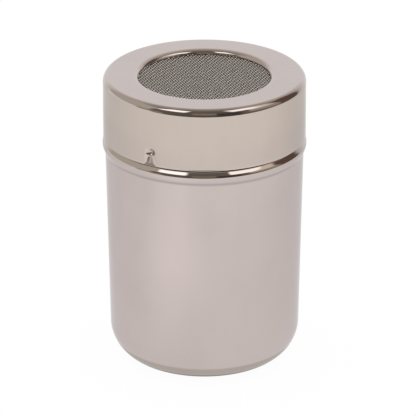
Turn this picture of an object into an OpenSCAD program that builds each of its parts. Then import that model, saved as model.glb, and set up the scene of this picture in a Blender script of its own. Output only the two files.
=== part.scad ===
// Stainless steel shaker for ground spice: a drawn cup, and a lid that sifts through wire cloth.
// The frame has +Z up and its origin at the centre of the cup's foot.

/* [Cup] */
// Outside diameter of the cup just under its bead
cup_d = 65.2; // [50:0.2:90]
// Height of the cup from foot to rim
cup_h = 97.5; // [80:0.5:140]
// Lean of the cup's wall, which narrows towards the foot, in degrees
cup_taper = 1.27; // [0:0.01:3]
// Radius of the corner between the foot and the wall
foot_corner_r = 12; // [4:0.5:14]
// Radius of the shallow dish pressed up into the foot
dish_r = 15; // [8:0.5:16]
// Depth of that dish
dish_h = 0.6; // [0.2:0.1:1.5]
// Width of the slope between the dish and the foot's flat ring
dish_slope = 2.2; // [1:0.1:3]
// Step from the cup's wall in to its neck
neck_step = 0.5; // [0.3:0.05:1]

/* [Bead round the cup] */
// How far the bead stands out past the wall under it
bead_out = 0.9; // [0.75:0.05:1.2]
// Radius of the curve over the bead's widest ring
bead_r = 1.7; // [1.2:0.1:2.2]
// Lean of the bead's upper face out of the vertical, in degrees
bead_lean = 37; // [30:1:50]
// Radius of the curve that turns the bead in below its widest ring
bead_under_r = 3.9; // [3:0.1:5]
// Lean of the bead's lower face, in degrees
bead_under_lean = 25; // [15:1:30]

/* [Lid] */
// Height of the lid from its lower edge to its top
lid_h = 20.2; // [16:0.1:28]
// Radius of the lid's top corner
lid_corner_r = 2.4; // [1.6:0.1:4]
// Diameter of the hole in the lid's top
hole_d = 43.4; // [30:0.2:46]
// Radius of the bend round the hole
lip_r = 1; // [0.7:0.05:1.3]
// Depth of the turned-down lip, from the lid's top to its edge
lip_h = 1.5; // [1.35:0.05:3]

/* [Wire cloth] */
// Wires to the inch, each way
mesh_per_inch = 30; // [16:1:40]
// Diameter of one wire
wire_d = 0.3; // [0.15:0.01:0.4]
// How far the cloth reaches out past the edge of the hole
cloth_reach = 2.3; // [1:0.1:4]
// Turn of the cloth about the axis, in degrees
cloth_turn = 22; // [0:1:89]

/* [Clamp ring] */
// Sheet thickness of the clamp ring
ring_t = 0.5; // [0.3:0.05:1]
// How far the clamp ring's edge is set back from the hole
ring_set_back = 0.2; // [0:0.05:1]
// Width of the ring's slope up to the underside of the lid
ring_slope = 1.2; // [0.6:0.1:2]
// Gap between the edge of the cloth and the start of that slope
cloth_edge_gap = 0.5; // [0.2:0.1:1]

/* [Bayonet] */
// Diameter of a dimple on the outside of the lid
dimple_d = 3.6; // [2.6:0.1:4.4]
// Depth of a dimple
dimple_depth = 1.3; // [1.1:0.05:1.6]
// Height of the dimples above the lid's lower edge
dimple_up = 3.45; // [3.2:0.05:6]
// Direction of the first dimple about the axis, in degrees
dimple_angle = 239.3; // [0:0.1:360]
// Number of dimples and of channels
dimple_count = 2; // [2:1:4]
// Turn from the way in to the locked end of a channel, in degrees
lock_turn = 25; // [12:1:40]

/* [Sheet and fits] */
// Sheet thickness of the cup and the lid
sheet_t = 0.5; // [0.4:0.05:0.6]
// Gap between the cup's neck and the inside of the lid's skirt
skirt_gap = 0.65; // [0.55:0.05:0.9]
// Gap between the cup's rim and the lid's inner corner
seat_gap = 0.25; // [0.1:0.05:0.4]
// Gap between the lid's lower edge and the top of the bead
bead_gap = 0.9; // [0.5:0.05:3]
// Gap between a dimple and its channel, all round
channel_gap = 0.3; // [0.2:0.05:0.5]

/* [Hidden] */
$fn = 96;
inch = 25.4;
past = 1;

// radii, each from the cup's outside diameter
shoulder_r = cup_d / 2;
neck_r = shoulder_r - neck_step;
untrimmed_z = cup_h + past;
skirt_r = neck_r + skirt_gap + sheet_t;
hole_r = hole_d / 2;

// the rim's outer edge meets the lid's inner corner with the seat gap between them
corner_axis_r = skirt_r - lid_corner_r;
seat_r = lid_corner_r - sheet_t - seat_gap;
seat_rise = sqrt(pow(seat_r, 2) - pow(max(neck_r - corner_axis_r, 0), 2));
lid_top = cup_h - seat_rise + lid_corner_r;
corner_axis_z = lid_top - lid_corner_r;
lid_bottom = lid_top - lid_h;
under_lid = lid_top - sheet_t;

// the bead, from its top at the neck down to the crease where it meets the wall
bead_outer_r = shoulder_r + bead_out;
bead_axis_r = bead_outer_r - bead_r;
under_axis_r = bead_outer_r - bead_under_r;
bead_top_z = lid_bottom - bead_gap;
upper_face_h = (bead_axis_r + bead_r * cos(bead_lean) - neck_r) / tan(bead_lean);
under_face_h = (under_axis_r + bead_under_r * cos(bead_under_lean) - shoulder_r) / tan(bead_under_lean);
bead_mid_z = bead_top_z - upper_face_h - bead_r * sin(bead_lean);
crease_z = bead_mid_z - bead_under_r * sin(bead_under_lean) - under_face_h;

// wire cloth and the ring under it
lip_edge_z = lid_top - lip_h;
warp_z = lip_edge_z - wire_d / 2;
weft_z = warp_z - wire_d;
cloth_r = hole_r + cloth_reach;
cloth_under = lip_edge_z - 2 * wire_d;
wire_pitch = inch / mesh_per_inch;
wires_each_side = floor((cloth_r - wire_d) / wire_pitch);
land_start_r = cloth_r + cloth_edge_gap + ring_slope;
land_end_r = corner_axis_r - ring_set_back;

// dimples, and the channels that they run in
dimple_z = lid_bottom + dimple_up;
dent_r = (pow(dimple_d / 2, 2) + pow(dimple_depth, 2)) / (2 * dimple_depth);
dent_axis_r = skirt_r + dent_r - dimple_depth;
bump_r = dent_r + sheet_t;
bump_tip_r = dent_axis_r - bump_r;
bump_half_w = sqrt(pow(bump_r, 2) - pow(dent_axis_r - neck_r, 2));
channel_half_w = bump_half_w + channel_gap;
channel_floor_r = bump_tip_r - channel_gap;
end_extra = 0.03;

// A corner of an outline moved in by the depth "inset", from the slants of the two faces' normals.
function inset_corner(corner, slant_1, slant_2, inset) =
    corner - inset * [cos(slant_1) + cos(slant_2), sin(slant_1) + sin(slant_2)] / (1 + cos(slant_1 - slant_2));

// A round part of an outline: the circle about "axis", kept between two heights.
module round_part(axis, radius, low, high) {
    intersection() {
        translate(axis) circle(radius);
        translate([axis[0] - past, low]) square([radius + 2 * past, high - low]);
    }
}

// Half of the cup's outline, drawn inside the outer surface by the depth "inset".
module cup_outline(inset) {
    corner_r = foot_corner_r - inset;
    foot_wall_r = shoulder_r - crease_z * tan(cup_taper);
    corner_axis = foot_wall_r + foot_corner_r * (tan(cup_taper) - 1 / cos(cup_taper));
    wall_end = [corner_axis + corner_r * cos(cup_taper), foot_corner_r - corner_r * sin(cup_taper)];
    crease = inset_corner([shoulder_r, crease_z], -cup_taper, -bead_under_lean, inset);
    under_r = bead_under_r - inset;
    under_end = [under_axis_r + under_r * cos(bead_under_lean), bead_mid_z - under_r * sin(bead_under_lean)];
    upper_r = bead_r - inset;
    upper_end = [bead_axis_r + upper_r * cos(bead_lean), bead_mid_z + upper_r * sin(bead_lean)];
    neck_foot = inset_corner([neck_r, bead_top_z], bead_lean, 0, inset);
    difference() {
        union() {
            polygon([
                [0, inset], [corner_axis, inset], [corner_axis, foot_corner_r],
                wall_end, crease, under_end, [bead_outer_r - inset, bead_mid_z], upper_end, neck_foot,
                [neck_r - inset, untrimmed_z], [0, untrimmed_z]
            ]);
            round_part([corner_axis, foot_corner_r], corner_r, inset, foot_corner_r);
            round_part([under_axis_r, bead_mid_z], under_r, bead_mid_z - under_r, bead_mid_z);
            round_part([bead_axis_r, bead_mid_z], upper_r, bead_mid_z, bead_mid_z + upper_r);
        }
        polygon([
            [0, inset - past], [0, dish_h + inset], [dish_r, dish_h + inset],
            [dish_r + dish_slope, inset], [dish_r + dish_slope, inset - past]
        ]);
    }
}

// One L-shaped path down from the untrimmed neck and round to the lock, between two radii. Its round
// ends are a hair larger than its run, so that their faces cross those of the run.
module channel_path(half_w, inner_r, outer_r) {
    band_h = 2 * half_w;
    intersection() {
        union() {
            translate([0, -half_w, dimple_z]) cube([outer_r + past, band_h, untrimmed_z - dimple_z]);
            for (turn = [0, -lock_turn]) {
                rotate([0, 0, turn])
                    translate([0, 0, dimple_z])
                        rotate([0, 90, 0]) cylinder(h = outer_r + past, r = half_w + end_extra);
            }
            rotate([0, 0, -lock_turn])
                rotate_extrude(angle = lock_turn)
                    translate([inner_r - past, dimple_z - half_w]) square([outer_r - inner_r + 2 * past, band_h]);
        }
        translate([0, 0, dimple_z - band_h]) tube(inner_r, outer_r, cup_h - dimple_z + 2 * band_h);
    }
}

// A plain upright tube.
module tube(inner_r, outer_r, height) {
    difference() {
        cylinder(h = height, r = outer_r);
        translate([0, 0, -past]) cylinder(h = height + 2 * past, r = inner_r);
    }
}

// The drawn cup: a tapered wall, a bead over which the lid's edge stands, a neck trimmed flat at the
// rim, and bayonet channels pressed into the neck.
module cup() {
    wall_channel_w = channel_half_w + sheet_t;
    color([0.78, 0.74, 0.72])
        difference() {
            union() {
                rotate_extrude()
                    difference() {
                        cup_outline(0);
                        cup_outline(sheet_t);
                    }
                each_dimple() channel_path(wall_channel_w, channel_floor_r - sheet_t, neck_r - sheet_t / 2);
            }
            each_dimple() channel_path(channel_half_w, channel_floor_r, neck_r + past);
            translate([0, 0, cup_h]) cylinder(h = 2 * past, r = neck_r + past);
        }
}

// Places its children at each dimple's direction.
module each_dimple() {
    for (i = [0 : dimple_count - 1]) {
        rotate([0, 0, dimple_angle + i * 360 / dimple_count]) children();
    }
}

// Half of the lid's outline down to the height "bottom", drawn inside the outer surface by the depth
// "inset".
module lid_outline(inset, bottom) {
    side_r = skirt_r - inset;
    polygon([
        [0, bottom], [side_r, bottom], [side_r, corner_axis_z],
        [corner_axis_r, corner_axis_z], [corner_axis_r, lid_top - inset], [0, lid_top - inset]
    ]);
    round_part([corner_axis_r, corner_axis_z], lid_corner_r - inset, corner_axis_z, lid_top);
}

// Half of the bend that turns the lid's top down round the hole, ending in a straight lip.
module lip_outline() {
    bend_z = lid_top - lip_r;
    intersection() {
        difference() {
            translate([hole_r + lip_r, bend_z]) circle(lip_r);
            translate([hole_r + lip_r, bend_z]) circle(lip_r - sheet_t);
        }
        translate([hole_r - past, bend_z]) square([lip_r + past, lip_r]);
    }
    translate([hole_r, lip_edge_z]) square([sheet_t, bend_z - lip_edge_z]);
}

// The drawn lid: flat top with a lipped hole, rounded corner, straight skirt and dimples.
module lid_shell() {
    color([0.80, 0.76, 0.73])
        difference() {
            union() {
                rotate_extrude() {
                    difference() {
                        lid_outline(0, lid_bottom);
                        lid_outline(sheet_t, lid_bottom - past);
                        square([hole_r + lip_r, lid_top + past]);
                    }
                    lip_outline();
                }
                each_dimple()
                    intersection() {
                        translate([dent_axis_r, 0, dimple_z]) sphere(bump_r);
                        translate([0, 0, dimple_z - bump_r]) cylinder(h = 2 * bump_r, r = skirt_r - sheet_t / 2);
                    }
            }
            each_dimple() translate([dent_axis_r, 0, dimple_z]) sphere(dent_r);
        }
}

// The ring that holds the cloth up against the lip, spot-welded flat under the lid's top.
module clamp_ring() {
    slope_start_r = land_start_r - ring_slope;
    color([0.70, 0.68, 0.66])
        rotate_extrude()
            polygon([
                [hole_r + ring_set_back, cloth_under - ring_t], [slope_start_r, cloth_under - ring_t],
                [land_start_r, under_lid - ring_t], [land_end_r, under_lid - ring_t],
                [land_end_r, under_lid], [land_start_r, under_lid],
                [slope_start_r, cloth_under], [hole_r + ring_set_back, cloth_under]
            ]);
}

// One layer of straight wires, cut to the round of the cloth.
module wire_layer(height) {
    for (i = [-wires_each_side : wires_each_side]) {
        offset_y = i * wire_pitch;
        half_length = sqrt(pow(cloth_r, 2) - pow(offset_y, 2));
        translate([-half_length, offset_y, height])
            rotate([0, 90, 0]) cylinder(h = 2 * half_length, d = wire_d, $fn = 24);
    }
}

// The wires that run one way, touching the underside of the lip.
module warp_wires() {
    color([0.62, 0.60, 0.57])
        rotate([0, 0, cloth_turn]) wire_layer(warp_z);
}

// The wires that cross them, resting on the clamp ring.
module weft_wires() {
    color([0.58, 0.56, 0.53])
        rotate([0, 0, cloth_turn + 90]) wire_layer(weft_z);
}

cup();
lid_shell();
clamp_ring();
warp_wires();
weft_wires();
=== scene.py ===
"""Dresses the shaker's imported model: a drawn cup and lid of polished steel, woven wire cloth, a studio.

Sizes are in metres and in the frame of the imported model: +Z up, the origin at the centre of the foot.
"""

import math

import bpy
import numpy as np
from mathutils import Matrix, Vector


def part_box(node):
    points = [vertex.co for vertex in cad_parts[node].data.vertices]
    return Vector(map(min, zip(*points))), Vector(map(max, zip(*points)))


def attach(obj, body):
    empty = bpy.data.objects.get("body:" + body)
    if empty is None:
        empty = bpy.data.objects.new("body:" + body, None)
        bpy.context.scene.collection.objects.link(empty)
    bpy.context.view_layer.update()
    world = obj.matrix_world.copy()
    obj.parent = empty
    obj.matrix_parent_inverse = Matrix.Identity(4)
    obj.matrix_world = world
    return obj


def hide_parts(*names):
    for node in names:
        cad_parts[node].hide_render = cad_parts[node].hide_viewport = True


bl_info = {
    "name": "Spice shaker",
    "version": (1, 0, 0),
    "blender": (4, 5, 0),
    "location": "View3D > Sidebar > Shaker",
    "description": "Builds the steel shells, the woven cloth and the studio round the shaker's model",
    "category": "Object",
}

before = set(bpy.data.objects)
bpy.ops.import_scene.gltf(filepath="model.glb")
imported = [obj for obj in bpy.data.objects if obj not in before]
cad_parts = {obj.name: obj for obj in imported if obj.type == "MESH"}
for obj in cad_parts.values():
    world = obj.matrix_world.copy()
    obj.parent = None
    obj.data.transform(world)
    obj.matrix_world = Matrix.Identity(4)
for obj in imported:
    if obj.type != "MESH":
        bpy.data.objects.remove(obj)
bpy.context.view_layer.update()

MM = 0.001

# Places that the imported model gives
cup_top_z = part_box("cup")[1].z
bead_out_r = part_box("cup")[1].x
lid_low_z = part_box("lid_shell")[0].z
lid_top_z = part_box("lid_shell")[1].z
skirt_out_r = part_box("lid_shell")[1].x
ring_low, ring_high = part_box("clamp_ring")
cloth_mid_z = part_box("warp_wires")[0].z


# ---------------------------------------------------------------- settings


def length(name, description, default):
    """A size in metres, shown in the scene's units."""
    return bpy.props.FloatProperty(name=name, description=description, default=default,
                                   min=0, unit="LENGTH", precision=5)


def angle(name, description, degrees):
    """An angle, shown in degrees."""
    return bpy.props.FloatProperty(name=name, description=description,
                                   default=math.radians(degrees), subtype="ANGLE")


def share(name, description, default):
    """A plain number from 0 to 1."""
    return bpy.props.FloatProperty(name=name, description=description, default=default,
                                   min=0, max=1, subtype="FACTOR")


def colour(name, description, default):
    """A linear colour."""
    return bpy.props.FloatVectorProperty(name=name, description=description, default=default,
                                         size=3, min=0, max=1, subtype="COLOR")


class SheetSettings(bpy.types.PropertyGroup):
    """Sizes that the cup and the lid share."""

    thickness: length("Sheet", "Thickness of the drawn sheet", 0.5 * MM)
    dimple_angle: angle("Dimple direction", "Direction of the first dimple about the axis", 238.3)
    dimple_count: bpy.props.IntProperty(name="Dimples", description="Dimples round the lid, and channels",
                                        default=2, min=1, max=4)
    dimple_up: length("Dimple height", "Height of the dimples above the lid's lower edge", 3.45 * MM)
    dimple_width: length("Dimple width", "Diameter of a dimple", 4.3 * MM)
    dimple_depth: length("Dimple depth", "Depth of a dimple", 1.3 * MM)
    dimple_tip: length("Dimple tip", "Roundness of a dimple's tip", 0.6 * MM)


class CupSettings(bpy.types.PropertyGroup):
    """Sizes of the cup."""

    wall_r: length("Wall", "Outer radius of the wall under the bead", 32.6 * MM)
    taper: angle("Taper", "Lean of the wall, which narrows towards the foot", 1.27)
    crease_z: length("Crease", "Height of the crease between the wall and the bead", 72.5 * MM)
    crease_round: length("Crease radius", "Radius of the hollow in that crease", 1.6 * MM)
    foot_round: length("Foot corner", "Radius of the corner between the foot and the wall", 12 * MM)
    dish_r: length("Dish", "Radius of the dish pressed up into the foot", 15 * MM)
    dish_depth: length("Dish depth", "Depth of that dish", 0.6 * MM)
    dish_slope: length("Dish slope", "Width of the slope round the dish", 2.2 * MM)
    dish_top_bend: length("Dish bend", "Radius of the bend at the top of that slope", 3 * MM)
    dish_foot_bend: length("Dish foot bend", "Radius of the bend at the foot of that slope", 2 * MM)
    bead_z: length("Bead middle", "Height of the bead's widest ring", 75.25 * MM)
    crown_r: length("Bead crown", "Radius of the bead over its widest ring", 1.7 * MM)
    crown_lean: angle("Crown lean", "Lean of the bead where the crown runs out into its face", 37)
    face_r: length("Bead face", "Radius of the nearly flat face above the crown", 40 * MM)
    face_lean: angle("Face lean", "Lean of that face at its top", 39)
    under_r: length("Bead underside", "Radius of the curve under the widest ring", 3.9 * MM)
    under_lean: angle("Underside lean", "Lean of the bead's lower face", 25)
    neck_r: length("Neck", "Outer radius of the neck", 32.1 * MM)
    rim_round: length("Rim", "Radius of the rounded edges of the rim", 0.2 * MM)
    channel_half: length("Channel", "Half the width of a bayonet channel", 1.941 * MM)
    channel_depth: length("Channel depth", "Depth of a channel", 0.95 * MM)
    channel_turn: angle("Lock turn", "Turn from the way in to the locked end", 25)


class LidSettings(bpy.types.PropertyGroup):
    """Sizes of the lid."""

    hole_r: length("Hole", "Radius of the hole in the top", 21.6 * MM)
    lip_z: length("Lip", "Height of the lip's edge, on which the cloth bears", 97.323 * MM)
    bend_in: length("Lip bend", "Width of the bend round the hole", 2.2 * MM)
    bend_down: length("Lip bend height", "Height of that bend", 1.4 * MM)
    corner_in: length("Corner", "Width of the rounded top corner", 2.1 * MM)
    corner_down: length("Corner height", "Height of the rounded top corner", 2.4 * MM)
    edge_round: length("Edge", "Radius of the rounded lower edge", 0.2 * MM)
    skirt_down: length("Skirt's trim", "How far the skirt runs on below the solid's edge", 0.9 * MM)
    flare: length("Flare", "How far the skirt's lower edge is belled out", 0.03 * MM)
    flare_h: length("Flare height", "Height of the belled edge", 0.6 * MM)
    sink: length("Sink", "How far the sheet is drawn in just under a dimple", 0.8 * MM)
    edge_sink: length("Edge sink", "How far it is still drawn in at the lower edge", 0.1 * MM)
    sink_half: length("Sink width", "Half the width of the drawn-in sheet just under a dimple", 1.4 * MM)
    sink_spread: length("Sink spread", "How much that half width grows down to the edge", 1.1 * MM)


class RingSettings(bpy.types.PropertyGroup):
    """Sizes of the ring that holds the cloth."""

    thickness: length("Sheet", "Thickness of the ring", 0.5 * MM)
    inner_r: length("Inner radius", "Radius of the ring's inner edge", 21.9 * MM)
    flat_end_r: length("Flat", "Outer radius of the flat under the cloth", 24.5 * MM)
    land_r: length("Land", "Inner radius of the land under the lid", 25.7 * MM)
    edge_round: length("Edge", "Radius of the ring's rounded edges", 0.12 * MM)
    bend_under: length("Bends", "Radius of the ring's two bends on its underside", 0.8 * MM)
    bend_top: length("Bends on top", "Radius of those bends on its upper side", 0.4 * MM)


class ClothSettings(bpy.types.PropertyGroup):
    """Sizes of the wire cloth."""

    pitch: length("Pitch", "Distance from one wire to the next", 25.4 * MM / 30)
    wire_d: length("Wire", "Diameter of one wire", 0.3 * MM)
    turn: angle("Turn", "Turn of the cloth about the axis", 22)
    radius: length("Radius", "Radius of the round of cloth", 24 * MM)


class FinishSettings(bpy.types.PropertyGroup):
    """Colours and finishes."""

    steel: colour("Steel", "Colour of the polished sheet", (0.562, 0.489, 0.466))
    edge: colour("Edge tint", "Tint of the steel where it is seen edge on", (0.87, 0.87, 0.88))
    # painted light: the warp's bright crowns are a painted highlight, and the weft, the same wire, is
    # painted darker
    warp: colour("Warp wire", "Colour of the warp wires on their lit crowns", (1.0, 0.95, 0.92))
    weft: colour("Weft wire", "Colour of the weft wires on their crowns", (0.55, 0.515, 0.48))
    # painted shade: the dark colour of the wires down in the hollows of the weave
    painted_wire_shade: colour("Wire hollows", "Colour of the wire in the hollows of the weave", (0.035, 0.03, 0.027))
    ring: colour("Ring", "Colour of the clamp ring", (0.46, 0.42, 0.40))
    wall_rough: share("Wall roughness", "Roughness of the drawn walls", 0.06)
    top_rough: share("Top roughness", "Roughness of the lid's flat top", 0.2)
    ring_rough: share("Ring roughness", "Least roughness of the clamp ring", 0.22)
    wire_rough: share("Wire roughness", "Least roughness of the wires", 0.04)


class StageSettings(bpy.types.PropertyGroup):
    """Camera and floor."""

    camera_lift: angle("Camera elevation", "Angle of the camera above the horizon", 22.606)
    camera_distance: length("Camera distance", "Distance of the camera from its target", 1.6667)
    target_z: length("Target", "Height of the point that the camera is set out from", 48 * MM)
    slide_x: length("Slide", "Sideways move of the camera", 1.154 * MM)
    slide_up: length("Rise", "Move of the camera along its own up direction", 2.975 * MM)
    lens: bpy.props.FloatProperty(name="Lens", description="Focal length", default=436.15,
                                  min=1, subtype="DISTANCE_CAMERA")
    sensor: bpy.props.FloatProperty(name="Sensor", description="Width of the sensor", default=36,
                                    min=1, subtype="DISTANCE_CAMERA")
    floor_r: length("Floor", "Half the depth of the white floor", 0.34)
    floor_wide: length("Floor width", "Half the width of the white floor", 0.55)
    contact_r: length("Contact", "Radius out to which the foot keeps light off the floor", 29.5 * MM)


SETTINGS = {
    "shaker_sheet": SheetSettings, "shaker_cup": CupSettings, "shaker_lid": LidSettings,
    "shaker_ring": RingSettings, "shaker_cloth": ClothSettings, "shaker_finish": FinishSettings,
    "shaker_stage": StageSettings,
}


def settings(name):
    """One of the groups of settings, by its short name."""
    return getattr(bpy.context.scene, "shaker_" + name)


# ---------------------------------------------------------------- outlines and turned shells


class Outline:
    """Half of a section, as points (radius, height) that run with the metal on their left."""

    GUARD = 0.12 * MM
    SAME_POINT = 1e-7

    def __init__(self, r, z):
        self.points = [(r, z)]

    def line(self, r, z, rows=1, guarded=True):
        """A straight run, with a row near each end so that the shading beyond stays true."""
        r0, z0 = self.points[-1]
        size = math.hypot(r - r0, z - z0)
        stops = [i / rows for i in range(1, rows)]
        if guarded and size > 4 * self.GUARD:
            stops += [self.GUARD / size, 1 - self.GUARD / size]
        for t in sorted(stops):
            self.points.append((r0 + t * (r - r0), z0 + t * (z - z0)))
        self.points.append((r, z))

    def arc(self, r, z, start, end, size, steps=8):
        """An arc about (r, z) from one angle to another; size is a radius or a pair of them."""
        size_r, size_z = size if isinstance(size, tuple) else (size, size)
        for i in range(steps + 1):
            a = math.radians(start + (end - start) * i / steps)
            self.add(r + size_r * math.cos(a), z + size_z * math.sin(a))

    def add(self, r, z):
        """One point, left out where it repeats the last one."""
        if math.hypot(r - self.points[-1][0], z - self.points[-1][1]) > self.SAME_POINT:
            self.points.append((r, z))

    def fillet(self, corner, after, radius, steps=8):
        """Rounds a corner that lies between the last point and the point after the corner."""
        corner, after = np.array(corner), np.array(after)
        a = np.array(self.points[-1]) - corner
        b = after - corner
        a, b = a / np.linalg.norm(a), b / np.linalg.norm(b)
        half = math.acos(max(-1, min(1, float(a @ b)))) / 2
        reach = radius / math.tan(half)
        centre = corner + (a + b) / np.linalg.norm(a + b) * radius / math.sin(half)
        first, last = corner + a * reach, corner + b * reach
        self.line(*first)
        u, v = first - centre, last - centre
        sweep = math.acos(max(-1, min(1, float(u @ v) / radius ** 2)))
        for i in range(1, steps + 1):
            t = i / steps
            p = centre + (math.sin((1 - t) * sweep) * u + math.sin(t * sweep) * v) / math.sin(sweep)
            self.add(*p)


def spread_angles(count, centres, half_width, weight):
    """Angles round the axis, closer together near some directions."""
    fine = np.linspace(0, 2 * math.pi, 20 * 360 + 1)
    soft = 0.6 * half_width
    density = np.ones_like(fine)
    for c in centres:
        away = np.abs((fine - c + math.pi) % (2 * math.pi) - math.pi)
        density += weight * np.clip((half_width + soft - away) / soft, 0, 1)
    total = np.concatenate([[0], np.cumsum((density[1:] + density[:-1]) / 2)])
    return np.interp(np.arange(count) / count, total / total[-1], fine)


def turned_mesh(name, points, angles, push=None, closed=False):
    """Turns an outline about the axis. An open outline starts and ends on the axis, at a pole."""
    outline = np.array(points if closed else points[1:-1])
    rows, columns = len(outline), len(angles)
    r = np.repeat(outline[:, 0:1], columns, axis=1)
    z = np.repeat(outline[:, 1:2], columns, axis=1)
    a = np.repeat(angles[None, :], rows, axis=0)
    if push is not None:
        r = r + push(np.arange(rows)[:, None] + (0 if closed else 1), r, a, z)
    grid = np.stack([r * np.cos(a), r * np.sin(a), z], axis=-1).reshape(-1, 3)
    last = rows if closed else rows - 1
    i = np.arange(last)[:, None]
    j = np.arange(columns)[None, :]
    i2, j2 = (i + 1) % rows, (j + 1) % columns
    quads = np.stack([i * columns + j, i * columns + j2, i2 * columns + j2, i2 * columns + j], axis=-1)
    faces = [tuple(q) for q in quads.reshape(-1, 4).tolist()]
    verts = grid.tolist()
    if not closed:
        low, high = len(verts), len(verts) + 1
        verts += [[0, 0, points[0][1]], [0, 0, points[-1][1]]]
        end = (rows - 1) * columns
        for k in range(columns):
            k2 = (k + 1) % columns
            faces.append((low, k2, k))
            faces.append((end + k, end + k2, high))
    mesh = bpy.data.meshes.new(name)
    mesh.from_pydata(verts, [], faces)
    mesh.shade_smooth()
    mesh.validate()
    return mesh


def new_piece(name, mesh, body, slot, material, *nodes):
    """A finished mesh becomes a piece that rides on a body and stands for its CAD nodes."""
    piece = bpy.data.objects.new(name, mesh)
    bpy.context.scene.collection.objects.link(piece)
    mesh.materials.clear()
    mesh.materials.append(material)
    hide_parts(*nodes)
    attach(piece, body)


def smooth(t):
    """A smooth step from 0 to 1."""
    t = np.clip(t, 0, 1)
    return t * t * (3 - 2 * t)


def dimple_directions():
    """Direction of each dimple about the axis."""
    sheet = settings("sheet")
    return [sheet.dimple_angle + i * 2 * math.pi / sheet.dimple_count for i in range(sheet.dimple_count)]


def dimple_height():
    """Height of the middles of the dimples, and of the channels in which they run round."""
    return lid_low_z + settings("sheet").dimple_up


def across(a, direction):
    """Signed angle from a direction."""
    return (a - direction + math.pi) % (2 * math.pi) - math.pi


# ---------------------------------------------------------------- cup


def cup_outline(cup, t):
    """The cup's outline: under the foot, up the outside, over the rim and down the inside."""
    lean = math.tan(cup.taper)
    foot_wall_r = cup.wall_r - cup.crease_z * lean
    axis_r = foot_wall_r + cup.foot_round * (lean - 1 / math.cos(cup.taper))
    under_axis_r = bead_out_r - cup.under_r
    bead_z = cup.bead_z
    crown_r, face_r = cup.crown_r, cup.face_r
    bead_axis_r = bead_out_r - crown_r
    face_axis_r = bead_axis_r - (face_r - crown_r) * math.cos(cup.crown_lean)
    face_axis_z = bead_z - (face_r - crown_r) * math.sin(cup.crown_lean)
    wall_turn, under_turn = math.degrees(cup.taper), math.degrees(cup.under_lean)
    crown_turn, face_turn = math.degrees(cup.crown_lean), math.degrees(cup.face_lean)
    dish_end = cup.dish_r + cup.dish_slope

    under_end = (under_axis_r + cup.under_r * math.cos(cup.under_lean),
                 bead_z - cup.under_r * math.sin(cup.under_lean))
    face_end_r = face_axis_r + face_r * math.cos(cup.face_lean)
    face_end_z = face_axis_z + face_r * math.sin(cup.face_lean)
    neck_foot_z = face_end_z + (face_end_r - cup.neck_r) / math.tan(cup.face_lean)
    neck_start_z = neck_foot_z + 0.2 * MM
    middle_r = 4 * MM
    inner_r, foot_in = cup.neck_r - t, cup.foot_round - t
    edge = cup.rim_round

    line = Outline(0, cup.dish_depth)
    line.line(middle_r, cup.dish_depth, guarded=False)
    line.fillet((cup.dish_r, cup.dish_depth), (dish_end, 0), cup.dish_top_bend)
    line.fillet((dish_end, 0), (axis_r, 0), cup.dish_foot_bend)
    line.line(axis_r, 0)
    line.arc(axis_r, cup.foot_round, -90, -wall_turn, cup.foot_round, steps=26)
    line.fillet((cup.wall_r, cup.crease_z), under_end, cup.crease_round)
    line.line(*under_end)
    line.arc(under_axis_r, bead_z, -under_turn, 0, cup.under_r, steps=10)
    line.arc(bead_axis_r, bead_z, 0, crown_turn, crown_r, steps=14)
    line.arc(face_axis_r, face_axis_z, crown_turn, face_turn, face_r, steps=6)
    line.line(cup.neck_r, neck_foot_z)
    line.line(cup.neck_r, neck_start_z, guarded=False)
    neck_rows(line, cup, cup.neck_r)
    line.arc(cup.neck_r - edge, cup_top_z - edge, 0, 90, edge, steps=4)
    line.arc(inner_r + edge, cup_top_z - edge, 90, 180, edge, steps=4)
    outer_rows = len(line.points)
    neck_rows(line, cup, inner_r, down=True)
    line.line(inner_r, neck_foot_z)
    line.arc(face_axis_r, face_axis_z, face_turn, crown_turn, face_r - t, steps=4)
    line.arc(bead_axis_r, bead_z, crown_turn, 0, crown_r - t, steps=8)
    line.arc(under_axis_r, bead_z, 0, -under_turn, cup.under_r - t, steps=6)
    line.fillet((cup.wall_r - t, cup.crease_z), (foot_wall_r - t, 0), cup.crease_round, steps=6)
    line.line(axis_r + foot_in * math.cos(cup.taper), cup.foot_round - foot_in * math.sin(cup.taper))
    line.arc(axis_r, cup.foot_round, -wall_turn, -90, foot_in, steps=16)
    line.line(dish_end, t)
    line.line(cup.dish_r, cup.dish_depth + t)
    line.line(middle_r, cup.dish_depth + t, guarded=False)
    line.add(0, cup.dish_depth + t)
    return line.points, outer_rows


def neck_rows(line, cup, r, down=False):
    """The neck's straight wall, with close rows where the channels run round."""
    run_z = dimple_height()
    reach = cup.channel_half + 0.6 * MM
    rim_z = cup_top_z - 1 * MM
    close_rows, rim_rows = 26, 8
    if down:
        line.line(r, rim_z)
        line.line(r, run_z + reach, rim_rows, guarded=False)
        line.line(r, run_z - reach, close_rows, guarded=False)
    else:
        line.line(r, run_z - reach, guarded=False)
        line.line(r, run_z + reach, close_rows, guarded=False)
        line.line(r, rim_z, rim_rows, guarded=False)


def cup_push(cup, outer_rows):
    """Presses the bayonet channels into the neck."""
    run_z = dimple_height()
    blend = 0.4 * MM
    inner_wider = 0.35 * MM

    def push(row, r, a, z):
        out = np.zeros_like(r)
        half = cup.channel_half + (row >= outer_rows) * inner_wider
        for direction in dimple_directions():
            turned = across(a, direction)
            beyond = np.maximum(np.maximum(turned, -cup.channel_turn - turned), 0) * cup.neck_r
            round_run = np.hypot(beyond, z - run_z)
            way_in = np.where(z > run_z, np.abs(turned) * cup.neck_r, np.inf)
            away = np.minimum(round_run, way_in) - half
            out = np.minimum(out, -cup.channel_depth * smooth(0.5 - away / (2 * blend)))
        return out * (z > lid_low_z)

    return push


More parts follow.
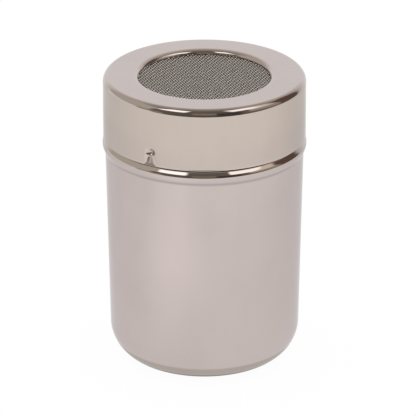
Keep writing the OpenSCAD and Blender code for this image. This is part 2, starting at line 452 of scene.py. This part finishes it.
class SHAKER_OT_cup(bpy.types.Operator):
    """Make the drawn cup with its bead and bayonet channels"""

    bl_idname = "shaker.cup"
    bl_label = "Cup"

    def execute(self, context):
        cup, t = settings("cup"), settings("sheet").thickness
        points, outer_rows = cup_outline(cup, t)
        centres = [d - cup.channel_turn / 2 for d in dimple_directions()]
        angles = spread_angles(400, centres, half_width=0.75 * cup.channel_turn, weight=2.5)
        mesh = turned_mesh("cup_shell", points, angles, cup_push(cup, outer_rows))
        new_piece("cup_shell", mesh, "cup", "cup_steel", cup_steel(), "cup")
        return {"FINISHED"}


# ---------------------------------------------------------------- lid


def lid_outline(lid, t):
    """The lid's outline: up the skirt, in across the top, down the lip and back underneath."""
    corner_r, corner_z = skirt_out_r - lid.corner_in, lid_top_z - lid.corner_down
    bend_r, bend_z = lid.hole_r + lid.bend_in, lid_top_z - lid.bend_down
    edge = lid.edge_round
    low_z = lid_low_z - lid.skirt_down
    fine_top = lid_low_z + 7 * MM  # the skirt's rows lie close together up to here
    inner_r = skirt_out_r - t
    line = Outline(inner_r + edge, low_z)
    line.arc(skirt_out_r - edge, low_z + edge, -90, 0, edge, steps=5)
    line.line(skirt_out_r, low_z + lid.flare_h, rows=12, guarded=False)
    line.line(skirt_out_r, fine_top, rows=46, guarded=False)
    line.line(skirt_out_r, corner_z)
    line.arc(corner_r, corner_z, 0, 90, (lid.corner_in, lid.corner_down), steps=22)
    line.line(bend_r, lid_top_z)
    line.arc(bend_r, bend_z, 90, 180, (lid.bend_in, lid.bend_down), steps=14)
    line.line(lid.hole_r, lid.lip_z)
    line.line(lid.hole_r + t, lid.lip_z)
    line.line(lid.hole_r + t, bend_z)
    line.arc(bend_r, bend_z, 180, 90, (lid.bend_in - t, lid.bend_down - t), steps=6)
    line.line(corner_r, lid_top_z - t)
    line.arc(corner_r, corner_z, 90, 0, (lid.corner_in - t, lid.corner_down - t), steps=10)
    inner_start = len(line.points)
    line.line(inner_r, fine_top)
    line.line(inner_r, low_z + edge, rows=34, guarded=False)
    line.arc(inner_r + edge, low_z + edge, 180, 270, edge, steps=4)
    return line.points[:-1], inner_start


def lid_push(lid, t, inner_start):
    """Bells the lower edge and presses the dimples in, with the sheet drawn in below each one."""
    sheet = settings("sheet")
    low_z = lid_low_z - lid.skirt_down
    dimple_z = dimple_height()
    rim, tip = sheet.dimple_width / 2, sheet.dimple_tip
    inner_rim = rim + 0.45 * t
    bell_z, plain_z = low_z + 0.1 * MM, low_z + 2 * lid.flare_h
    highest_z = dimple_z + 4 * MM
    cone_power, fall_power, side_power = 1.8, 1.1, 4
    sink_start, sink_rise = 0.06, 0.24  # shares of the way down from the dimple to the edge
    join_depth, join_soft = 0.04 * MM, 0.06 * MM

    def push(row, r, a, z):
        out = lid.flare * (1 - smooth((z - bell_z) / lid.flare_h)) * (z < plain_z)
        reach = np.where(row >= inner_start, inner_rim, rim)
        below = (dimple_z - z) / (dimple_z - low_z)
        fall = np.clip(below, 0, 1)
        sink = lid.sink + (lid.edge_sink - lid.sink) * fall ** fall_power
        sink = sink * smooth((below - sink_start) / sink_rise)
        half = lid.sink_half + lid.sink_spread * fall
        for direction in dimple_directions():
            side = across(a, direction) * skirt_out_r
            away = np.hypot(side, z - dimple_z)
            # a cone with a blunt tip, which flattens out towards the dimple's rim
            blunt = np.hypot(away, tip) - tip
            dent = sheet.dimple_depth * np.clip(1 - blunt / (reach - 0.5 * tip), 0, 1) ** cone_power
            drawn = sink * np.exp(-(side / half) ** side_power)
            deeper, other = np.maximum(dent, drawn), np.minimum(dent, drawn)
            join = join_depth * np.exp((other - deeper) / join_soft) * (other > 0)
            out = out - deeper - join
        return out * (z < highest_z)

    return push


class SHAKER_OT_lid(bpy.types.Operator):
    """Make the drawn lid with its lipped hole and dimples"""

    bl_idname = "shaker.lid"
    bl_label = "Lid"

    def execute(self, context):
        lid, t = settings("lid"), settings("sheet").thickness
        points, inner_start = lid_outline(lid, t)
        angles = spread_angles(440, dimple_directions(), half_width=math.radians(5), weight=9)
        mesh = turned_mesh("lid_drawn", points, angles, lid_push(lid, t, inner_start), closed=True)
        new_piece("lid_drawn", mesh, "lid", "lid_steel", lid_steel(), "lid_shell")
        return {"FINISHED"}


# ---------------------------------------------------------------- clamp ring


class SHAKER_OT_ring(bpy.types.Operator):
    """Make the pressed ring that holds the cloth against the lip"""

    bl_idname = "shaker.ring"
    bl_label = "Clamp ring"

    def execute(self, context):
        ring = settings("ring")
        t, edge = ring.thickness, ring.edge_round
        low, high, outer_r = ring_low.z, ring_high.z, ring_high.x
        line = Outline(ring.inner_r + edge, low)
        line.fillet((ring.flat_end_r, low), (ring.land_r, high - t), ring.bend_under, steps=5)
        line.fillet((ring.land_r, high - t), (outer_r, high - t), ring.bend_under, steps=5)
        line.line(outer_r - edge, high - t)
        line.arc(outer_r - edge, high - t + edge, -90, 0, edge, steps=4)
        line.arc(outer_r - edge, high - edge, 0, 90, edge, steps=4)
        line.fillet((ring.land_r, high), (ring.flat_end_r, low + t), ring.bend_top, steps=4)
        line.fillet((ring.flat_end_r, low + t), (ring.inner_r, low + t), ring.bend_top, steps=4)
        line.line(ring.inner_r + edge, low + t)
        line.arc(ring.inner_r + edge, low + t - edge, 90, 180, edge, steps=4)
        # this arc stops a little short of the outline's first point
        line.arc(ring.inner_r + edge, low + edge, 180, 269, edge, steps=4)
        columns = 220
        angles = np.arange(columns) / columns * 2 * math.pi
        mesh = turned_mesh("cloth_ring", line.points, angles, closed=True)
        new_piece("cloth_ring", mesh, "lid", "ring_steel", ring_steel(), "clamp_ring")
        return {"FINISHED"}


# ---------------------------------------------------------------- nodes


class TreeBuilder:
    """Adds nodes to a tree, each by its type, its settings and the values or links of its sockets."""

    def __init__(self, tree):
        self.tree = tree

    def node(self, kind, out=0, inputs=(), stops=(), **options):
        """Adds a node, sets its options and a ramp's stops, then its sockets, and gives an output."""
        made = self.tree.nodes.new(kind)
        for name, value in options.items():
            setattr(made, name, value)
        if stops:
            self.set_ramp(made.color_ramp.elements, stops)
        for name, value in dict(inputs).items():
            self.fill(made.inputs[name], value)
        return Wire(self, made.outputs[out]) if made.outputs else made

    def set_ramp(self, elements, stops):
        """Sets a ramp's stops, each a position and a colour, in rising order."""
        elements.remove(elements[1])
        elements[0].position = stops[0][0]
        elements[0].color = (*stops[0][1], 1)
        for position, tone in stops[1:]:
            elements.new(position).color = (*tone, 1)

    def fill(self, socket, value):
        """Sets a socket's value, or links it."""
        if isinstance(value, Wire):
            self.tree.links.new(value.socket, socket)
        else:
            socket.default_value = value


class Wire:
    """A socket that takes part in plain arithmetic."""

    def __init__(self, builder, socket):
        self.builder = builder
        self.socket = socket

    def math(self, operation, *values):
        """One Math node on this value and others."""
        inputs = dict(enumerate((self, *values)))
        return self.builder.node("ShaderNodeMath", inputs=inputs, operation=operation)

    def __add__(self, other):
        return self.math("ADD", other)

    __radd__ = __add__

    def __mul__(self, other):
        return self.math("MULTIPLY", other)

    __rmul__ = __mul__

    def __sub__(self, other):
        return self.math("SUBTRACT", other)

    def __rsub__(self, other):
        return (self * -1).math("ADD", other)

    def __truediv__(self, other):
        return self.math("DIVIDE", other)

    def step(self, low, high):
        """A smooth step from 0 at one value to 1 at another."""
        return self.builder.node("ShaderNodeMapRange", interpolation_type="SMOOTHSTEP",
                                 inputs={0: self, 1: low, 2: high, 3: 0.0, 4: 1.0})

    def between(self, low, high, soft):
        """1 from one value to another, with soft ends."""
        return self.step(low - soft, low + soft) * (1 - self.step(high - soft, high + soft))


def empty_tree(owner):
    """Clears the nodes of a material or a world, ready to be built."""
    owner.use_nodes = True
    owner.node_tree.nodes.clear()
    return TreeBuilder(owner.node_tree)


def parts(b, vector, axes="XYZ"):
    """The parts of a place or a direction along some axes."""
    return [b.node("ShaderNodeSeparateXYZ", out=axis, inputs={0: vector}) for axis in axes]


def noise(b, place, scale, detail=2.0):
    """A random pattern from 0 to 1."""
    return b.node("ShaderNodeTexNoise", inputs={"Vector": place, "Scale": scale, "Detail": detail})


def mixed(b, mask, first, second, label=""):
    """A colour that goes from the first to the second as the mask goes from 0 to 1."""
    return b.node("ShaderNodeMix", out=2, data_type="RGBA", label=label,
                  inputs={0: mask, 6: first, 7: second})


# ---------------------------------------------------------------- wire cloth


def cloth_tree(cloth):
    """A layer of woven wires along X, in a round of the cloth's radius."""
    tree = bpy.data.node_groups.new("Woven layer", "GeometryNodeTree")
    face = tree.interface
    sizes = {"Pitch": cloth.pitch, "Wire": cloth.wire_d, "Radius": cloth.radius, "Side": 1.0}
    steps_a_pitch, sides = 4, 8
    for name, value in sizes.items():
        socket = face.new_socket(name, in_out="INPUT", socket_type="NodeSocketFloat")
        socket.default_value = value
    face.new_socket("Material", in_out="INPUT", socket_type="NodeSocketMaterial")
    face.new_socket("Geometry", in_out="OUTPUT", socket_type="NodeSocketGeometry")
    b = TreeBuilder(tree)
    pitch, wire, radius, side = (b.node("NodeGroupInput", out=name) for name in sizes)
    material = b.node("NodeGroupInput", out="Material")

    each_side = ((radius - wire) / pitch).math("FLOOR")
    count = 2 * each_side + 1
    first = b.node("ShaderNodeCombineXYZ", inputs={1: each_side * pitch * -1})
    stride = b.node("ShaderNodeCombineXYZ", inputs={1: pitch})
    rows = b.node("GeometryNodeMeshLine",
                  inputs={"Count": count, "Start Location": first, "Offset": stride})
    index = b.node("GeometryNodeInputIndex")
    parity = (index - each_side).math("FLOORED_MODULO", 2)
    x, y = parts(b, b.node("GeometryNodeInputPosition"), "XY")
    half = (radius * radius - y * y).math("SQRT")
    unit_line = b.node("GeometryNodeCurvePrimitiveLine", inputs={"Start": (-1, 0, 0), "End": (1, 0, 0)})
    stretch = b.node("ShaderNodeCombineXYZ", inputs={0: half, 1: 1.0, 2: 1.0})
    marked = b.node("GeometryNodeStoreNamedAttribute", data_type="FLOAT", domain="POINT",
                    inputs={"Geometry": rows, "Name": "parity", "Value": parity})
    wires = b.node("GeometryNodeInstanceOnPoints",
                   inputs={"Points": marked, "Instance": unit_line, "Scale": stretch})
    wires = b.node("GeometryNodeRealizeInstances", inputs={0: wires})
    wires = b.node("GeometryNodeResampleCurve", mode="LENGTH",
                   inputs={"Curve": wires, "Length": pitch / steps_a_pitch})
    odd = b.node("GeometryNodeInputNamedAttribute", data_type="FLOAT", inputs={"Name": "parity"})
    wave = ((x / pitch + odd) * math.pi).math("COSINE") * side * wire * 0.5
    woven = b.node("ShaderNodeCombineXYZ", inputs={0: x, 1: y, 2: wave})
    wires = b.node("GeometryNodeSetPosition", inputs={"Geometry": wires, "Position": woven})
    profile = b.node("GeometryNodeCurvePrimitiveCircle", inputs={"Resolution": sides, "Radius": wire / 2})
    tubes = b.node("GeometryNodeCurveToMesh",
                   inputs={"Curve": wires, "Profile Curve": profile, "Fill Caps": True})
    tubes = b.node("GeometryNodeSetShadeSmooth", inputs={"Geometry": tubes})
    tubes = b.node("GeometryNodeRealizeInstances", inputs={0: tubes})
    tubes = b.node("GeometryNodeSetMaterial", inputs={"Geometry": tubes, "Material": material})
    b.node("NodeGroupOutput", inputs={"Geometry": tubes})
    return tree


def woven_layer(name, tree, side, turn, node, material):
    """One layer of the cloth, made by the tree and turned to lie under the lid's hole."""
    maker = bpy.data.objects.new(name + "_maker", bpy.data.meshes.new(name + "_maker"))
    bpy.context.scene.collection.objects.link(maker)
    modifier = maker.modifiers.new("Woven layer", "NODES")
    modifier.node_group = tree
    ids = {i.name: i.identifier for i in tree.interface.items_tree if i.in_out == "INPUT"}
    modifier[ids["Side"]] = side
    modifier[ids["Material"]] = material
    graph = bpy.context.evaluated_depsgraph_get()
    mesh = bpy.data.meshes.new_from_object(maker.evaluated_get(graph), depsgraph=graph)
    mesh.name = name
    bpy.data.objects.remove(maker)
    mesh.transform(Matrix.Translation((0, 0, cloth_mid_z)) @ Matrix.Rotation(turn, 4, "Z"))
    new_piece(name, mesh, "lid", "wire_steel", material, node)


class SHAKER_OT_cloth(bpy.types.Operator):
    """Weave the wire cloth"""

    bl_idname = "shaker.cloth"
    bl_label = "Wire cloth"

    def execute(self, context):
        cloth, finish = settings("cloth"), settings("finish")
        tree = cloth_tree(cloth)
        warp, weft = wire_steel("Warp wire", finish.warp), wire_steel("Weft wire", finish.weft)
        woven_layer("woven_warp", tree, 1.0, cloth.turn, "warp_wires", warp)
        woven_layer("woven_weft", tree, -1.0, cloth.turn + math.pi / 2, "weft_wires", weft)
        return {"FINISHED"}


# ---------------------------------------------------------------- materials


GRAIN_HEIGHT = 0.02 * MM
CLOUD_LOSS = 0.035
UNEVENNESS = 0.2


def steel_material(name, base, rough, grain, hollow=None):
    """Polished steel. The last three are functions that build its sockets from the position."""
    material = bpy.data.materials.new(name)
    b = empty_tree(material)
    place = b.node("ShaderNodeTexCoord", out="Object")
    x, y, z = parts(b, place)
    r = (x * x + y * y).math("SQRT")
    duller = [c * (1 - CLOUD_LOSS) for c in base]
    clouds = noise(b, place, scale=45.0, detail=3.0).step(0.3, 0.7)
    tint = mixed(b, clouds, (*duller, 1), (*base, 1))
    # a hollow, where given, is painted shade: its mask mixes a darker colour into the tint
    if hollow:
        unshaded_share, low = hollow(z)
        tint = mixed(b, unshaded_share, (*low, 1), tint)
    height, strength = grain(b, place, r, z)
    bump = b.node("ShaderNodeBump",
                  inputs={"Strength": strength, "Distance": GRAIN_HEIGHT, "Height": height})
    surface = b.node("ShaderNodeBsdfPrincipled",
                     inputs={"Base Color": tint, "Metallic": 1.0, "Roughness": rough(b, place, r, z),
                             "Specular Tint": (*settings("finish").edge, 1), "Normal": bump})
    b.node("ShaderNodeOutputMaterial", inputs={"Surface": surface})
    return material


def wall_roughness(b, place):
    """The roughness of the drawn walls, a little uneven."""
    patches = noise(b, place, scale=70.0)
    return settings("finish").wall_rough * (1 - UNEVENNESS + 2 * UNEVENNESS * patches)


def cup_steel():
    """The cup's steel: polished walls with faint draw marks that run round, with painted shade in the
    crease.
    """
    steel = settings("finish").steel
    crease_low = settings("cup").crease_z - 0.05 * MM
    crease_high, crease_soft = crease_low + 0.9 * MM, 0.5 * MM
    # painted shade in the crease: how much of it, and how dark the steel is painted there
    crease_shade_share, crease_shade_tone = 0.5, 0.5
    mark_strength, mark_stretch = 0.05, 0.1

    def rough(b, place, r, z):
        return wall_roughness(b, place)

    def grain(b, place, r, z):
        ringed = b.node("ShaderNodeCombineXYZ", inputs={0: r * mark_stretch, 2: z})
        return noise(b, ringed, scale=2500.0, detail=3.0), mark_strength

    # painted shade along the crease: a mask, and the steel at half its tone
    def hollow(z):
        crease = z.between(crease_low, crease_high, crease_soft)
        return 1 - crease_shade_share * crease, [c * crease_shade_tone for c in steel]

    return steel_material("Cup steel", steel, rough, grain, hollow)


def lid_steel():
    """The lid's steel: satin top, polished bends and skirt."""
    finish, lid = settings("finish"), settings("lid")
    flat_in, flat_out, flat_soft = lid.hole_r + lid.bend_in, skirt_out_r - lid.corner_in, 0.15 * MM
    flat_low, flat_high = lid_top_z - 0.08 * MM, lid_top_z - 0.01 * MM
    plain_grain, satin_grain = 0.04, 0.1

    def on_top(r, z):
        return z.step(flat_low, flat_high) * r.between(flat_in, flat_out, flat_soft)

    def rough(b, place, r, z):
        return wall_roughness(b, place) + on_top(r, z) * (finish.top_rough - finish.wall_rough)

    def grain(b, place, r, z):
        return noise(b, place, scale=3000.0), plain_grain + satin_grain * on_top(r, z)

    return steel_material("Lid steel", finish.steel, rough, grain)


def ring_steel():
    """Plain rolled sheet."""
    finish = settings("finish")
    rough_spread, grain_strength = 0.12, 0.2

    def rough(b, place, r, z):
        return finish.ring_rough + rough_spread * noise(b, place, scale=300.0, detail=3.0)

    def grain(b, place, r, z):
        return noise(b, place, scale=1800.0), grain_strength

    return steel_material("Ring steel", finish.ring, rough, grain)


def wire_steel(name, tone):
    """Drawn wire, with painted shade in the hollows of the weave."""
    finish = settings("finish")
    crown_z = cloth_mid_z + 0.2 * MM
    rough_spread, grain_strength = 0.05, 0.1

    def rough(b, place, r, z):
        return finish.wire_rough + rough_spread * noise(b, place, scale=900.0)

    def grain(b, place, r, z):
        return noise(b, place, scale=6000.0), grain_strength

    # painted shade: the wire darkens from its crown down to the middle of the weave
    def hollow(z):
        return z.step(cloth_mid_z, crown_z), finish.painted_wire_shade

    return steel_material(name, tone, rough, grain, hollow)


# ---------------------------------------------------------------- stage


# The studio's brightness as the steel mirrors it, from -1 in front to 1 behind, warm in front
STUDIO_LEVELS = [(-1.0, 0.13), (-0.4, 0.19), (0.05, 0.34), (0.29, 0.47), (0.6, 0.62), (0.87, 1.03)]
WARM_UP_TO, NEUTRAL_FROM = 0.29, 0.87
WARM_LOSS = (0, 0.08, 0.22)

# What stands in the studio: from and to in degrees round from the front, to the right,
# from and to in degrees up, softness of the edges, colour. Later ones stand before earlier ones.
STUDIO_PANELS = {
    "left wall": ((-130, -64), (6, 54), 4, (0.62, 0.60, 0.515)),
    "left wall's foot": ((-130, -47), (-14, 8), 4, (0.38, 0.35, 0.31)),
    "left sweep": ((-136, -61), (-30, -5), 3, (0.95, 0.94, 0.93)),
    "left sweep's rise": ((-136, -80), (-30, 6), 4, (0.95, 0.94, 0.93)),
    "right wall": ((52, 98), (6, 26), 4, (0.46, 0.40, 0.34)),
    "right wall's top": ((56, 94), (27, 41), 3, (0.92, 0.80, 0.68)),
    "right corner": ((78, 98), (40, 66), 3, (1.0, 0.93, 0.87)),
    "right curtain": ((93, 126), (-14, 45), 4, (0.15, 0.10, 0.08)),
    "front wall": ((-14, 14), (9, 37), 2, (0.31, 0.247, 0.205)),
    "front curtain": ((14, 42), (-9, 30), 3, (0.07, 0.062, 0.06)),
    "left soft box": ((-63, -25), (41, 66), 3, (2.0, 2.0, 2.0)),
    "right soft box": ((35, 78), (40, 66), 2, (1.75, 1.72, 1.68)),
}


def studio_world():
    """White to the eye; in the steel, a studio of soft boxes, pale walls and a dark front."""
    world = bpy.data.worlds.new("Studio")
    bpy.context.scene.world = world
    b = empty_tree(world)
    x, y, z = parts(b, b.node("ShaderNodeTexCoord", out="Generated"))
    degrees = 180 / math.pi
    lift = z.math("ARCSINE") * degrees
    round_front = x.math("ARCTAN2", y * -1) * degrees

    stops = []
    for behind, value in STUDIO_LEVELS:
        warmth = 1 - min(1, max(0, (behind - WARM_UP_TO) / (NEUTRAL_FROM - WARM_UP_TO)))
        stops.append((behind * 0.5 + 0.5, [value * (1 - loss * warmth) for loss in WARM_LOSS]))
    studio = b.node("ShaderNodeValToRGB", stops=stops, inputs={0: y * 0.5 + 0.5})
    for name, (turns, lifts, soft, tone) in STUDIO_PANELS.items():
        mask = round_front.between(*turns, soft) * lift.between(*lifts, soft)
        studio = mixed(b, mask, studio, (*tone, 1), label=name)

    path = b.node("ShaderNodeLightPath", out="Is Glossy Ray")
    plain = b.node("ShaderNodeBackground", inputs={"Color": (1, 1, 1, 1), "Strength": 1.0})
    mirrored = b.node("ShaderNodeBackground", inputs={"Color": studio, "Strength": 1.0})
    both = b.node("ShaderNodeMixShader", inputs={0: path, 1: plain, 2: mirrored})
    b.node("ShaderNodeOutputWorld", inputs={"Surface": both})


# The floor as the steel mirrors it, with painted light on it: places and radii, and shares by which it is
# brighter or darker. It is painted brighter in front, with a painted pool of light (glare), a painted
# darker ring and a painted contact shadow round the foot
FRONT_Y, BACK_Y = -0.26, 0.22
FRONT_TONE, BACK_LOSS = 1.05, 0.2
GLARE_X, GLARE_Y = -0.08, -0.115
GLARE_R, GLARE_GAIN = (0.02, 0.1), 0.1
BAND_R, BAND_SOFT, BAND_LOSS = (0.205, 0.238), 0.01, 0.05
# painted contact shadow on the mirrored floor: its softness, how much darker and how much warmer it is, and
# the darker ring right at the foot
CONTACT_SOFT, CONTACT_SHADOW_LOSS, CONTACT_WARMTH = 2 * MM, 0.25, 0.05
FOOT_R, FOOT_SHADOW_LOSS = (24 * MM, 25.5 * MM), 0.45
FAR_R, FAR_WARMTH = (0.16, 0.26), 0.075
FLOOR_CLOUDS, FLOOR_GREEN = 0.07, 0.995
# The floor as the eye sees it
FLOOR_GLOW, FLOOR_WHITE, FLOOR_MATT = 1.006, 0.98, 0.05


def white_floor(stage):
    """A white round on which the shaker stands."""
    corner_count = 128
    turns = [2 * math.pi * i / corner_count for i in range(corner_count)]
    corners = [(stage.floor_wide * math.cos(a), stage.floor_r * math.sin(a), 0) for a in turns]
    mesh = bpy.data.meshes.new("floor")
    mesh.from_pydata(corners, [], [tuple(range(corner_count))])
    floor = bpy.data.objects.new("floor", mesh)
    bpy.context.scene.collection.objects.link(floor)
    material = bpy.data.materials.new("White floor")
    b = empty_tree(material)
    place = b.node("ShaderNodeTexCoord", out="Object")
    x, y = parts(b, place, "XY")
    r = (x * x + y * y).math("SQRT")
    # painted light on the mirrored floor: a brighter pool (glare), brighter in front and darker behind, and
    # a darker ring
    off_x, off_y = x - GLARE_X, y - GLARE_Y
    glare = 1 - (off_x * off_x + off_y * off_y).math("SQRT").step(*GLARE_R)
    depth = FRONT_TONE - BACK_LOSS * y.step(FRONT_Y, BACK_Y)
    spots = 1 + GLARE_GAIN * glare - BAND_LOSS * r.between(*BAND_R, BAND_SOFT)
    # painted contact shadow: the mirrored floor is darker and warmer round the foot
    near = 1 - r.step(stage.contact_r, stage.contact_r + CONTACT_SOFT)
    painted_contact_shadow = (1 - CONTACT_SHADOW_LOSS * near) * (1 - FOOT_SHADOW_LOSS + FOOT_SHADOW_LOSS * r.step(*FOOT_R))
    clouds = 1 - 0.5 * FLOOR_CLOUDS + FLOOR_CLOUDS * noise(b, place, scale=16.0)
    tone = depth * spots * painted_contact_shadow * clouds
    blue = 1 - FAR_WARMTH * r.step(*FAR_R) - CONTACT_WARMTH * near
    warm = b.node("ShaderNodeCombineColor", inputs={0: tone, 1: tone * FLOOR_GREEN, 2: tone * blue})
    path = b.node("ShaderNodeLightPath", out="Is Glossy Ray")
    tint = mixed(b, path, (1, 1, 1, 1), warm)
    glow = b.node("ShaderNodeEmission", inputs={"Color": tint, "Strength": FLOOR_GLOW})
    matt = b.node("ShaderNodeBsdfDiffuse", inputs={"Color": (FLOOR_WHITE, FLOOR_WHITE, FLOOR_WHITE, 1)})
    both = b.node("ShaderNodeMixShader", inputs={0: FLOOR_MATT, 1: glow, 2: matt})
    b.node("ShaderNodeOutputMaterial", inputs={"Surface": both})
    mesh.materials.append(material)


def studio_camera(stage):
    """A long lens at a distance, looking a little down."""
    camera = bpy.data.objects.new("camera", bpy.data.cameras.new("camera"))
    bpy.context.scene.collection.objects.link(camera)
    back = Vector((0, -math.cos(stage.camera_lift), math.sin(stage.camera_lift)))
    up = Vector((0, math.sin(stage.camera_lift), math.cos(stage.camera_lift)))
    camera.location = Vector((stage.slide_x, 0, stage.target_z)) + back * stage.camera_distance
    camera.location += up * stage.slide_up
    camera.rotation_euler = (math.pi / 2 - stage.camera_lift, 0, 0)
    camera.data.lens = stage.lens
    camera.data.sensor_width = stage.sensor
    bpy.context.scene.camera = camera


class SHAKER_OT_stage(bpy.types.Operator):
    """Set up the camera, the floor and the light"""

    bl_idname = "shaker.stage"
    bl_label = "Studio"

    def execute(self, context):
        stage = settings("stage")
        studio_camera(stage)
        white_floor(stage)
        studio_world()
        context.scene.view_settings.view_transform = "Standard"
        return {"FINISHED"}


# ---------------------------------------------------------------- panel and run


OPERATORS = [SHAKER_OT_stage, SHAKER_OT_cup, SHAKER_OT_lid, SHAKER_OT_ring, SHAKER_OT_cloth]


class SHAKER_PT_panel(bpy.types.Panel):
    """Lists the shaker's operators"""

    bl_label = "Shaker"
    bl_idname = "SHAKER_PT_panel"
    bl_space_type = "VIEW_3D"
    bl_region_type = "UI"
    bl_category = "Shaker"

    def draw(self, context):
        for operator in OPERATORS:
            self.layout.operator(operator.bl_idname)


CLASSES = [*SETTINGS.values(), *OPERATORS, SHAKER_PT_panel]


def register():
    """Registers the classes and hangs the settings on the scene."""
    for c in CLASSES:
        bpy.utils.register_class(c)
    for name, group in SETTINGS.items():
        setattr(bpy.types.Scene, name, bpy.props.PointerProperty(type=group))


def unregister():
    """Takes the settings and the classes away again."""
    for name in SETTINGS:
        delattr(bpy.types.Scene, name)
    for c in reversed(CLASSES):
        bpy.utils.unregister_class(c)


def main():
    """Runs every operator."""
    register()
    bpy.ops.shaker.stage()
    bpy.ops.shaker.cup()
    bpy.ops.shaker.lid()
    bpy.ops.shaker.ring()
    bpy.ops.shaker.cloth()


if __name__ == "__main__":
    main()
